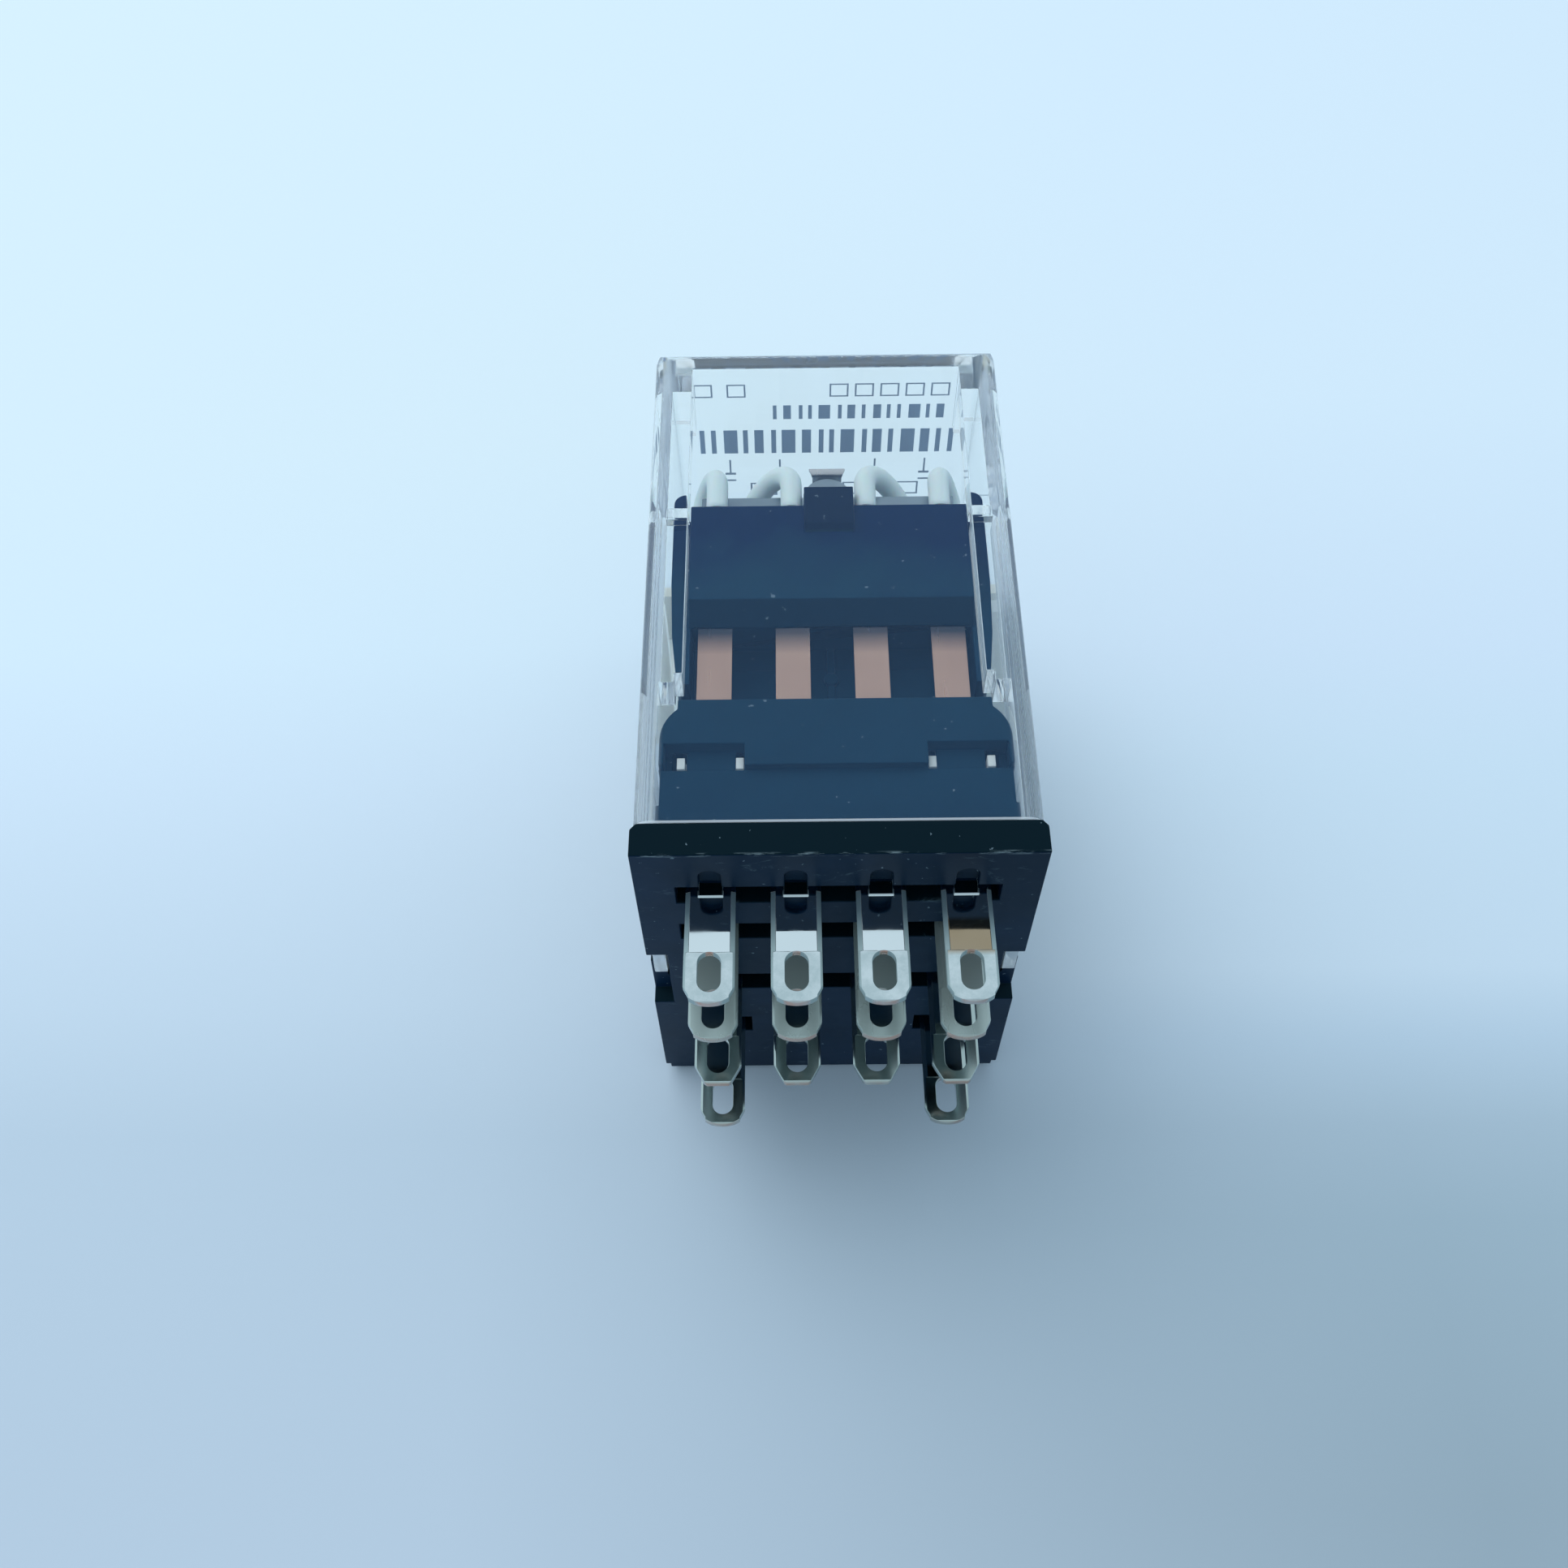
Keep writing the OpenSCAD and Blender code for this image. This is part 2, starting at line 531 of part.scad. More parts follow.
base();
nc_terminal(0);  // nc_terminal_1
nc_terminal(1);  // nc_terminal_2
nc_terminal(2);  // nc_terminal_3
nc_terminal(3);  // nc_terminal_4
no_terminal(0);  // no_terminal_1
no_terminal(1);  // no_terminal_2
no_terminal(2);  // no_terminal_3
no_terminal(3);  // no_terminal_4
com_terminal(0);  // com_terminal_1
com_terminal(1);  // com_terminal_2
com_terminal(2);  // com_terminal_3
com_terminal(3);  // com_terminal_4
coil_terminal(0);  // coil_terminal_1
coil_terminal(3);  // coil_terminal_2
nc_contacts();
no_contacts();
bobbin();
winding();
coil_tape();
core();
shading_ring();
yoke();
coil_wires();
armature();
moving_block();
spring(0);  // spring_1
spring(1);  // spring_2
spring(2);  // spring_3
spring(3);  // spring_4
moving_contacts();
return_spring();
spring_rivets();
lead(0);  // lead_1
lead(1);  // lead_2
lead(2);  // lead_3
lead(3);  // lead_4
indicator_board();
capacitor();
resistor();
lamp();
case();
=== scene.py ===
import math
import bmesh
import bpy
from mathutils import Matrix, Vector


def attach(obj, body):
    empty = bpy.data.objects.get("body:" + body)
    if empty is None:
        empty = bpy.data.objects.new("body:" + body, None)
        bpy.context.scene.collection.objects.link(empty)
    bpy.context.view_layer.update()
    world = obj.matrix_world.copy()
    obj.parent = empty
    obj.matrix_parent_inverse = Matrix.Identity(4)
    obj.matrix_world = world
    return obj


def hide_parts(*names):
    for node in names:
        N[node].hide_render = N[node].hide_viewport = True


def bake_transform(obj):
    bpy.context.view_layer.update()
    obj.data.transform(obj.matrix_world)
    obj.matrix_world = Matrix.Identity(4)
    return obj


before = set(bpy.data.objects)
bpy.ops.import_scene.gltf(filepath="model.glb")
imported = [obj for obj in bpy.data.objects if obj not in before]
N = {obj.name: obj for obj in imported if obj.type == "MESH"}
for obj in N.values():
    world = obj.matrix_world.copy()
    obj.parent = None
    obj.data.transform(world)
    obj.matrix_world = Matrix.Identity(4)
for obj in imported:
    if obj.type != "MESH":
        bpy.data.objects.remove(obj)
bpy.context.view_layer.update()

MM = 0.001
Y0 = -14.7          # the terminal-side face of the base lies here, in mm


# ------------------------------------------------------------------ helpers
def mat(name, rough=0.5, color=(0.8, 0.8, 0.8), metallic=0.0, ior=1.5, spec=0.5, trans=0.0, coat=0.0, coat_rough=0.05):
    m = bpy.data.materials.new(name)
    m.use_nodes = True
    nt = m.node_tree
    b = nt.nodes["Principled BSDF"]
    b.inputs["Base Color"].default_value = (*color, 1)
    b.inputs["Roughness"].default_value = rough
    b.inputs["Metallic"].default_value = metallic
    b.inputs["IOR"].default_value = ior
    b.inputs["Specular IOR Level"].default_value = spec
    b.inputs["Transmission Weight"].default_value = trans
    b.inputs["Coat Weight"].default_value = coat
    b.inputs["Coat Roughness"].default_value = coat_rough
    return m, nt, b


def noise(nt, scale, detail=4.0, rough=0.55, dist=0.0, vec=None):
    n = nt.nodes.new("ShaderNodeTexNoise")
    n.inputs["Scale"].default_value = scale
    n.inputs["Detail"].default_value = detail
    n.inputs["Roughness"].default_value = rough
    n.inputs["Distortion"].default_value = dist
    if vec is None:
        vec = coord(nt)
    nt.links.new(vec, n.inputs["Vector"])
    return n


def coord(nt, scale=(1, 1, 1), rot=(0, 0, 0)):
    c = nt.nodes.new("ShaderNodeTexCoord")
    mp = nt.nodes.new("ShaderNodeMapping")
    mp.inputs["Scale"].default_value = scale
    mp.inputs["Rotation"].default_value = rot
    nt.links.new(c.outputs["Object"], mp.inputs["Vector"])
    return mp.outputs["Vector"]


def ramp(nt, fac, stops):
    r = nt.nodes.new("ShaderNodeValToRGB")
    while len(r.color_ramp.elements) < len(stops):
        r.color_ramp.elements.new(0.5)
    for e, (p, c) in zip(r.color_ramp.elements, stops):
        e.position = p
        e.color = c if len(c) == 4 else (*c, 1)
    nt.links.new(fac, r.inputs["Fac"])
    return r.outputs["Color"]


def maprange(nt, v, lo, hi, a=0.0, b=1.0):
    m = nt.nodes.new("ShaderNodeMapRange")
    m.inputs["From Min"].default_value = a
    m.inputs["From Max"].default_value = b
    m.inputs["To Min"].default_value = lo
    m.inputs["To Max"].default_value = hi
    nt.links.new(v, m.inputs["Value"])
    return m.outputs["Result"]


def bump(nt, b, h, strength=0.2, dist=0.00005):
    n = nt.nodes.new("ShaderNodeBump")
    n.inputs["Strength"].default_value = strength
    n.inputs["Distance"].default_value = dist
    nt.links.new(h, n.inputs["Height"])
    nt.links.new(n.outputs["Normal"], b.inputs["Normal"])
    return n


def mixc(nt, fac, a, b):
    m = nt.nodes.new("ShaderNodeMix")
    m.data_type = "RGBA"
    if isinstance(fac, float):
        m.inputs["Factor"].default_value = fac
    else:
        nt.links.new(fac, m.inputs["Factor"])
    for v, s in ((a, m.inputs[6]), (b, m.inputs[7])):
        if isinstance(v, tuple):
            s.default_value = (*v, 1) if len(v) == 3 else v
        else:
            nt.links.new(v, s)
    return m.outputs[2]


# light levels, and floor colours with painted shadow that darkens the floor towards the front and the right
FLOOR_PAINTED_SHADE_L = [(0.05, (0.56, 0.64, 0.73)), (0.26, (0.57, 0.66, 0.75)), (0.35, (0.64, 0.73, 0.82)), (0.43, (0.68, 0.77, 0.86)),
           (0.53, (0.73, 0.82, 0.91)), (0.64, (0.77, 0.87, 0.94)), (0.85, (0.79, 0.88, 0.92))]
FLOOR_PAINTED_SHADE_R = [(0.04, (0.36, 0.44, 0.50)), (0.20, (0.40, 0.50, 0.57)), (0.26, (0.45, 0.55, 0.63)), (0.32, (0.55, 0.66, 0.76)),
           (0.37, (0.66, 0.76, 0.85)), (0.53, (0.69, 0.80, 0.89)), (0.64, (0.73, 0.82, 0.92)), (0.9, (0.78, 0.87, 0.94))]
SKY = [(0.36, 0.45, 0.52), (0.56, 0.70, 0.80), (0.74, 0.88, 0.97)]
KEY_W = 4.0


# ------------------------------------------------------------------ materials
def axis(nt, which, vec=None):
    """one of the object's own coordinates, in metres"""
    sep = nt.nodes.new("ShaderNodeSeparateXYZ")
    nt.links.new(vec if vec is not None else coord(nt), sep.inputs[0])
    return sep.outputs["XYZ".index(which)]


def math_node(nt, op, a, b=0.0, c=None):
    n = nt.nodes.new("ShaderNodeMath")
    n.operation = op
    for i, v in enumerate((a, b) if c is None else (a, b, c)):
        if isinstance(v, (int, float)):
            n.inputs[i].default_value = v
        else:
            nt.links.new(v, n.inputs[i])
    return n.outputs[0]


def m_black(name, base, lift, wear_and_painted_light=False, inner=None, block=False):
    """moulded black thermoset: fine grain, faint flow marks, dust, rubbed edges on the flange with a painted edge
    highlight, and painted shade by face direction
    """
    m, nt, b = mat(name, 0.4, base, spec=0.12)
    b.inputs["Specular Tint"].default_value = (0.38, 0.76, 1.0, 1)
    n1 = noise(nt, 1100, 6)
    n2 = noise(nt, 130, 4, dist=0.6)
    n3 = noise(nt, 2600, 2)
    col = mixc(nt, maprange(nt, n2.outputs["Fac"], 0.0, 1.0, 0.35, 0.7), base, lift)
    y = axis(nt, "Y")
    z = axis(nt, "Z")
    if wear_and_painted_light:
        # painted shade by face direction: the up-facing flange faces get a darker, less blue colour than the faces
        # towards the terminals
        gn = nt.nodes.new("ShaderNodeNewGeometry")
        up = maprange(nt, axis(nt, "Z", gn.outputs["Normal"]), 0.0, 1.0, 0.3, 0.8)
        col = mixc(nt, up, col, (0.0014, 0.0075, 0.0120))
    if inner is not None:
        # the part inside the cover keeps a bluer, dustier surface than the handled part outside
        f = maprange(nt, y, 0.0, 1.0, (Y0 + 1.9) * MM, (Y0 + 2.1) * MM)
        col = mixc(nt, f, col, mixc(nt, maprange(nt, n2.outputs["Fac"], 0.0, 1.0, 0.35, 0.7), inner, tuple(c * 1.35 for c in inner)))
    if block:
        # bluer and darker towards the rib; the down-facing slope above the springs is painted darker and greyer as
        # shade
        n4 = noise(nt, 240, 3, dist=0.4)
        f = math_node(nt, "ADD", y, math_node(nt, "MULTIPLY", math_node(nt, "SUBTRACT", n4.outputs["Fac"], 0.5), 0.006))
        col = mixc(nt, maprange(nt, f, 0.0, 1.0, (Y0 + 18.6) * MM, (Y0 + 22.6) * MM), col, (0.0004, 0.0085, 0.050))
        # painted shade: faces that look towards the terminals get a darker, greyer colour
        gn = nt.nodes.new("ShaderNodeNewGeometry")
        col = mixc(nt, maprange(nt, axis(nt, "Y", gn.outputs["Normal"]), 1.0, 0.0, -0.7, -0.5), col, (0.0030, 0.0150, 0.0300))
        col = mixc(nt, maprange(nt, z, 0.0, 1.0, 0.02570, 0.02575), col, (0.0002, 0.0030, 0.0220))
    dust = maprange(nt, n3.outputs["Fac"], 0.0, 1.0, 0.728, 0.745)
    col = mixc(nt, math_node(nt, "MULTIPLY", dust, 0.5), col, (0.26, 0.36, 0.42))
    if wear_and_painted_light:
        # rubbed flange edge: a lighter line along the front edge, partly wear and partly a painted highlight
        w1 = noise(nt, 420, 6, 0.7, vec=coord(nt, (1, 6, 6)))
        edge_y = maprange(nt, math_node(nt, "ABSOLUTE", math_node(nt, "SUBTRACT", y, Y0 * MM)), 1.0, 0.0, 0.0, 0.00016)
        edge_z = maprange(nt, z, 0.0, 1.0, 0.02755, 0.02774)
        k = math_node(nt, "MULTIPLY", math_node(nt, "MULTIPLY", edge_y, edge_z), maprange(nt, w1.outputs["Fac"], 0.0, 1.0, 0.52, 0.62))
        col = mixc(nt, k, col, (0.20, 0.27, 0.30))
        # scuffs on the terminal face
        w2 = noise(nt, 300, 8, 0.75, 1.5, vec=coord(nt, (1, 1, 3)))
        k2 = math_node(nt, "MULTIPLY", maprange(nt, w2.outputs["Fac"], 0.0, 0.5, 0.60, 0.68), maprange(nt, y, 1.0, 0.0, (Y0 + 0.05) * MM, (Y0 + 0.25) * MM))
        col = mixc(nt, k2, col, (0.09, 0.14, 0.17))
    nt.links.new(col, b.inputs["Base Color"])
    nt.links.new(maprange(nt, n1.outputs["Fac"], 0.36, 0.42, 0.3, 0.7), b.inputs["Roughness"])
    bump(nt, b, n1.outputs["Fac"], 0.008, 0.00002)
    return m


def m_clear():
    """clear cover: polished, with a faint uneven haze on the side and end walls from handling"""
    m, nt, b = mat("clear_cover", 0.01, (0.985, 0.995, 1.0), ior=1.50, trans=1.0)
    b.inputs["Specular Tint"].default_value = (0.24, 0.52, 1.0, 1)
    n = noise(nt, 90, 4)
    side = maprange(nt, math_node(nt, "ABSOLUTE", axis(nt, "X")), 0.0, 1.0, 0.0091, 0.0095)
    side = math_node(nt, "MAXIMUM", side, maprange(nt, axis(nt, "Y"), 0.0, 0.3, (Y0 + 34.3) * MM, (Y0 + 34.6) * MM))
    haze = math_node(nt, "MULTIPLY", side, maprange(nt, n.outputs["Fac"], 0.085, 0.125, 0.35, 0.65))
    # the moulded rim that sits on the flange is matt
    rim = maprange(nt, axis(nt, "Y"), 0.42, 0.0, (Y0 + 2.02) * MM, (Y0 + 2.05) * MM)
    haze = math_node(nt, "MAXIMUM", haze, rim)
    nt.links.new(math_node(nt, "SUBTRACT", 1.0, haze), b.inputs["Transmission Weight"])
    nt.links.new(mixc(nt, side, (0.985, 0.995, 1.0), (0.94, 0.985, 1.0)), b.inputs["Base Color"])
    b.inputs["Roughness"].default_value = 0.0
    return m


def m_metal(name, color, rough, var=0.08, scale=(1, 1, 1), nscale=400, tint=None, bstr=0.05, patch=None, cut=None, shade=None, ears=False, share=1.0):
    m, nt, b = mat(name, rough, color, metallic=share)
    v = coord(nt, scale)
    n = noise(nt, nscale, 4, vec=v)
    n2 = noise(nt, 90, 3)
    nt.links.new(maprange(nt, n.outputs["Fac"], max(0.02, rough - var), rough + var, 0.3, 0.7), b.inputs["Roughness"])
    col = mixc(nt, maprange(nt, n2.outputs["Fac"], 0.0, 1.0, 0.35, 0.65), color, tint or tuple(c * 0.9 for c in color))
    if ears:
        # the flat round the eyelet has been wiped with solder and is duller than the rest
        w = noise(nt, 900, 5, 0.65)
        f = maprange(nt, axis(nt, "Y"), 1.0, 0.0, (Y0 - 3.70) * MM, (Y0 - 3.55) * MM)
        col = mixc(nt, math_node(nt, "MULTIPLY", f, maprange(nt, w.outputs["Fac"], 0.35, 1.0, 0.35, 0.62)), col, (0.56, 0.64, 0.64))
    if patch:
        # an amber patch between two distances along the blade
        ya, yb, pc = patch
        y = axis(nt, "Y")
        f = math_node(nt, "MULTIPLY", maprange(nt, y, 0.0, 1.0, (Y0 + ya) * MM, (Y0 + ya + 0.35) * MM), maprange(nt, y, 1.0, 0.0, (Y0 + yb - 0.3) * MM, (Y0 + yb) * MM))
        f = math_node(nt, "MULTIPLY", f, maprange(nt, n2.outputs["Fac"], 0.85, 1.0, 0.35, 0.6))
        col = mixc(nt, f, col, pc)
    if cut:
        # bare brass where the blanking cut the plated strip: faces that look away from the wide faces
        g = nt.nodes.new("ShaderNodeNewGeometry")
        ny = axis(nt, "Y", g.outputs["Normal"])
        f = maprange(nt, ny, 1.0, 0.0, -0.9, -0.55)
        c2 = noise(nt, 700, 3)
        f = math_node(nt, "MULTIPLY", f, maprange(nt, c2.outputs["Fac"], 0.35, 1.0, 0.35, 0.6))
        f = math_node(nt, "MULTIPLY", f, maprange(nt, axis(nt, "Y"), 1.0, 0.0, (Y0 - 3.55) * MM, (Y0 - 3.3) * MM))
        col = mixc(nt, f, col, cut)
    if shade:
        # painted shade where the strip goes into the moulded block, darker towards the block
        f = maprange(nt, axis(nt, "Y"), 0.0, 1.0, (Y0 + shade[0]) * MM, (Y0 + shade[1]) * MM)
        f = math_node(nt, "MULTIPLY", f, math_node(nt, "ADD", 0.72, math_node(nt, "MULTIPLY", n2.outputs["Fac"], 0.36)))
        col = mixc(nt, f, col, (0.045, 0.055, 0.07))
    # the blades' upturned ears get a whitish, matt, less metallic finish: painted light standing in for the brightness
    # seen beside the blades in the housing windows
    f = math_node(nt, "MULTIPLY", maprange(nt, axis(nt, "Z"), 0.0, 1.0, 0.02535, 0.02545), maprange(nt, axis(nt, "Y"), 0.0, 1.0, (Y0 + 5.5) * MM, (Y0 + 5.7) * MM))
    if ears:
        col = mixc(nt, f, col, (0.80, 0.84, 0.84))
        # the coined edges along the blades are matt too; their colour, dark near the base and lighter towards the tip,
        # is painted shade and painted sheen
        gn = nt.nodes.new("ShaderNodeNewGeometry")
        e = maprange(nt, math_node(nt, "ABSOLUTE", axis(nt, "X", gn.outputs["Normal"])), 0.0, 1.0, 0.25, 0.4)
        e = math_node(nt, "MULTIPLY", e, maprange(nt, axis(nt, "Y"), 1.0, 0.0, (Y0 - 0.05) * MM, Y0 * MM))
        col = mixc(nt, e, col, mixc(nt, maprange(nt, axis(nt, "Y"), 1.0, 0.0, (Y0 - 3.4) * MM, (Y0 - 1.2) * MM), (0.13, 0.19, 0.22), (0.36, 0.46, 0.46)))
        f = math_node(nt, "MAXIMUM", f, e)
        ro = math_node(nt, "ADD", maprange(nt, n.outputs["Fac"], max(0.02, rough - var), rough + var, 0.3, 0.7), math_node(nt, "MULTIPLY", f, 0.45))
        nt.links.new(ro, b.inputs["Roughness"])
        nt.links.new(math_node(nt, "SUBTRACT", 1.0, math_node(nt, "MULTIPLY", f, 0.7)), b.inputs["Metallic"])
    nt.links.new(col, b.inputs["Base Color"])
    if bstr:
        bump(nt, b, n.outputs["Fac"], bstr, 0.00001)
    return m


def m_plastic(name, color, rough=0.4, sss=0.0, tint=None, trans=0.0):
    m, nt, b = mat(name, rough, color, trans=trans)
    n = noise(nt, 500, 4)
    n2 = noise(nt, 80, 3)
    nt.links.new(mixc(nt, n2.outputs["Fac"], color, tint or tuple(c * 0.9 for c in color)), b.inputs["Base Color"])
    nt.links.new(maprange(nt, n.outputs["Fac"], rough - 0.08, rough + 0.08, 0.3, 0.7), b.inputs["Roughness"])
    if sss:
        b.inputs["Subsurface Weight"].default_value = sss
        b.inputs["Subsurface Scale"].default_value = 0.0006
    bump(nt, b, n.outputs["Fac"], 0.08, 0.00002)
    return m


def m_winding():
    """enamelled wire in close turns around the Y axis"""
    m, nt, b = mat("enamel_turns", 0.25, (0.55, 0.20, 0.08), metallic=1.0, coat=0.6, coat_rough=0.12)
    wv = nt.nodes.new("ShaderNodeTexWave")
    wv.wave_type = "BANDS"
    wv.bands_direction = "Y"
    wv.inputs["Scale"].default_value = 1300
    wv.inputs["Distortion"].default_value = 0.6
    wv.inputs["Detail"].default_value = 1.0
    nt.links.new(coord(nt), wv.inputs["Vector"])
    n2 = noise(nt, 160, 3)
    c = mixc(nt, wv.outputs["Fac"], (0.20, 0.05, 0.02), (0.66, 0.27, 0.11))
    nt.links.new(mixc(nt, math_node(nt, "MULTIPLY", n2.outputs["Fac"], 0.4), c, (0.42, 0.13, 0.05)), b.inputs["Base Color"])
    bump(nt, b, wv.outputs["Fac"], 0.6, 0.00008)
    return m


def m_board():
    m, nt, b = mat("board_laminate", 0.4, (0.74, 0.70, 0.56), coat=0.3, coat_rough=0.2)
    wv = nt.nodes.new("ShaderNodeTexWave")
    wv.inputs["Scale"].default_value = 500
    wv.inputs["Distortion"].default_value = 1.0
    nt.links.new(coord(nt), wv.inputs["Vector"])
    n = noise(nt, 200, 4)
    c = mixc(nt, math_node(nt, "MULTIPLY", wv.outputs["Fac"], 0.3), (0.74, 0.70, 0.55), (0.66, 0.61, 0.46))
    nt.links.new(mixc(nt, n.outputs["Fac"], c, (0.80, 0.77, 0.64)), b.inputs["Base Color"])
    bump(nt, b, wv.outputs["Fac"], 0.1, 0.00003)
    return m


BLACK = m_black("base_black", (0.0024, 0.0130, 0.0320), (0.0050, 0.0210, 0.0520), wear_and_painted_light=True, inner=(0.0058, 0.026, 0.049))
BLOCK = m_black("block_black", (0.0050, 0.026, 0.058), (0.0090, 0.041, 0.074), block=True)
CLEAR = m_clear()
TIN = m_metal("tin_plate", (0.82, 0.87, 0.87), 0.05, 0.03, (1, 0.2, 1), 500, (0.77, 0.82, 0.82), cut=(0.62, 0.36, 0.27), ears=True)
# the lower terminal rows use darker copies of the tin colour as painted shade, with a rougher finish
TIN_DULL_SHADED = m_metal("tin_plate_dull_painted_shade", (0.60, 0.68, 0.64), 0.15, 0.06, (1, 0.3, 1), 500, (0.47, 0.55, 0.52), cut=(0.55, 0.36, 0.28))
TIN_MID_SHADED = m_metal("tin_plate_matt_painted_shade", (0.50, 0.58, 0.55), 0.25, 0.08, (1, 0.3, 1), 500, (0.40, 0.48, 0.45), cut=(0.55, 0.36, 0.28), share=0.55)
TIN_AMBER_PATCH = m_metal("tin_plate_amber_patch", (0.82, 0.87, 0.87), 0.06, 0.03, (1, 0.2, 1), 500, (0.77, 0.82, 0.82), patch=(-3.9, -1.6, (0.36, 0.24, 0.12)), cut=(0.62, 0.36, 0.27), ears=True)
SILVER = m_metal("contact_silver", (0.85, 0.84, 0.80), 0.3, 0.06)
COPPER = m_metal("spring_copper", (0.60, 0.385, 0.30), 0.30, 0.05, (1, 0.08, 1), 1400, (0.535, 0.335, 0.262), 0.12, shade=(14.7, 16.2))
SOLDER = m_metal("solder", (0.70, 0.70, 0.69), 0.22, 0.08, nscale=900)
STEEL = m_metal("magnet_steel", (0.32, 0.37, 0.41), 0.38, 0.08)
SPRING = m_metal("spring_strip", (0.60, 0.57, 0.57), 0.28, 0.06)
CREAM = m_plastic("cream_nylon", (0.88, 0.91, 0.86), 0.4, 0.1, tint=(0.82, 0.86, 0.80))
TAPE = m_plastic("coil_tape", (0.80, 0.68, 0.40), 0.2, tint=(0.74, 0.58, 0.30))
SLEEVE = m_plastic("lead_sleeve", (0.76, 0.87, 0.87), 0.5, 0.35, tint=(0.72, 0.84, 0.85))
BOARD = m_board()
CAP = m_plastic("capacitor_body", (0.10, 0.24, 0.52), 0.25)
RES = m_plastic("resistor_body", (0.30, 0.48, 0.62), 0.3)
LAMP = m_plastic("lamp_resin", (0.72, 0.06, 0.04), 0.12, trans=0.35)
WIRE = m_winding()
INK = m_plastic("print_ink", (0.38, 0.50, 0.68), 0.6)
INK_LIGHT = m_plastic("print_ink_thin", (0.42, 0.50, 0.62), 0.6)

BY_NODE = {"base": BLACK, "case": CLEAR, "moving_block": BLOCK, "nc_contacts": SILVER, "no_contacts": SILVER, "bobbin": CREAM,
           "winding": WIRE, "coil_tape": TAPE, "core": STEEL, "shading_ring": WIRE, "yoke": STEEL, "coil_wires": WIRE,
           "armature": STEEL, "moving_contacts": SILVER, "return_spring": SPRING, "spring_rivets": SILVER,
           "indicator_board": BOARD, "capacitor": CAP, "resistor": RES, "lamp": LAMP, "nc_terminal_4": TIN_AMBER_PATCH}
for name, ob in N.items():
    if name in BY_NODE:
        m = BY_NODE[name]
    elif name.startswith("nc_terminal"):
        m = TIN
    elif name.startswith("no_terminal"):
        m = TIN_MID_SHADED
    elif "terminal" in name:
        m = TIN_DULL_SHADED
    elif name.startswith("spring_") and name[-1].isdigit():
        m = COPPER
    else:
        m = SLEEVE
    ob.data.materials.clear()
    ob.data.materials.append(m)

# ------------------------------------------------------------------ edges of the CAD nodes
SMOOTH = bpy.data.node_groups.new("all_smooth", "GeometryNodeTree")
SMOOTH.interface.new_socket("Geometry", in_out="INPUT", socket_type="NodeSocketGeometry")
SMOOTH.interface.new_socket("Geometry", in_out="OUTPUT", socket_type="NodeSocketGeometry")
gi = SMOOTH.nodes.new("NodeGroupInput")
go = SMOOTH.nodes.new("NodeGroupOutput")
se = SMOOTH.nodes.new("GeometryNodeSetShadeSmooth")
sf = SMOOTH.nodes.new("GeometryNodeSetShadeSmooth")
se.domain = "EDGE"
sf.domain = "FACE"
SMOOTH.links.new(gi.outputs[0], se.inputs[0])
SMOOTH.links.new(se.outputs[0], sf.inputs[0])
SMOOTH.links.new(sf.outputs[0], go.inputs[0])


def soften(ob, width, seg=2, angle=32):
    """joins the split corners, turns coplanar triangles into whole faces, rounds the sharp edges and keeps flats flat"""
    w = ob.modifiers.new("join", "WELD")
    w.merge_threshold = 2e-6
    d = ob.modifiers.new("planes", "DECIMATE")
    d.decimate_type = "DISSOLVE"
    d.angle_limit = math.radians(0.4)
    g = ob.modifiers.new("smooth", "NODES")
    g.node_group = SMOOTH
    bv = ob.modifiers.new("edge", "BEVEL")
    bv.width = width * MM
    bv.segments = seg
    bv.limit_method = "ANGLE"
    bv.angle_limit = math.radians(angle)
    bv.harden_normals = False
    bv.use_clamp_overlap = False
    wn = ob.modifiers.new("flats", "WEIGHTED_NORMAL")
    wn.weight = 100
    wn.keep_sharp = False


ROUND = {"base": 0.07, "case": 0.05, "moving_block": 0.06, "armature": 0.06, "yoke": 0.08, "bobbin": 0.06,
         "capacitor": 0.12, "indicator_board": 0.03, "core": 0.06}
for name, ob in N.items():
    if name.startswith("lead_") or name in ("return_spring", "coil_wires", "resistor", "lamp", "winding", "coil_tape"):
        continue
    if "terminal" in name:
        soften(ob, 0.022, 2, 20)
    elif name.startswith("spring_") and name[-1].isdigit():
        soften(ob, 0.02, 1, 40)
    else:
        soften(ob, ROUND.get(name, 0.03))


# ------------------------------------------------------------------ pieces
def link(me, name, m):
    me.validate()
    o = bpy.data.objects.new(name, me)
    bpy.context.scene.collection.objects.link(o)
    me.materials.append(m)
    return o


def catmull(pts, n):
    """smooth points through pts, n to each span"""
    P = [Vector(p) for p in pts]
    P = [P[0] * 2 - P[1]] + P + [P[-1] * 2 - P[-2]]
    out = []
    for i in range(1, len(P) - 2):
        p0, p1, p2, p3 = P[i - 1:i + 3]
        for k in range(n):
            t = k / n
            out.append(0.5 * ((2 * p1) + (p2 - p0) * t + (2 * p0 - 5 * p1 + 4 * p2 - p3) * t * t + (3 * p1 - p0 - 3 * p2 + p3) * t ** 3))
    out.append(P[-2])
    return out


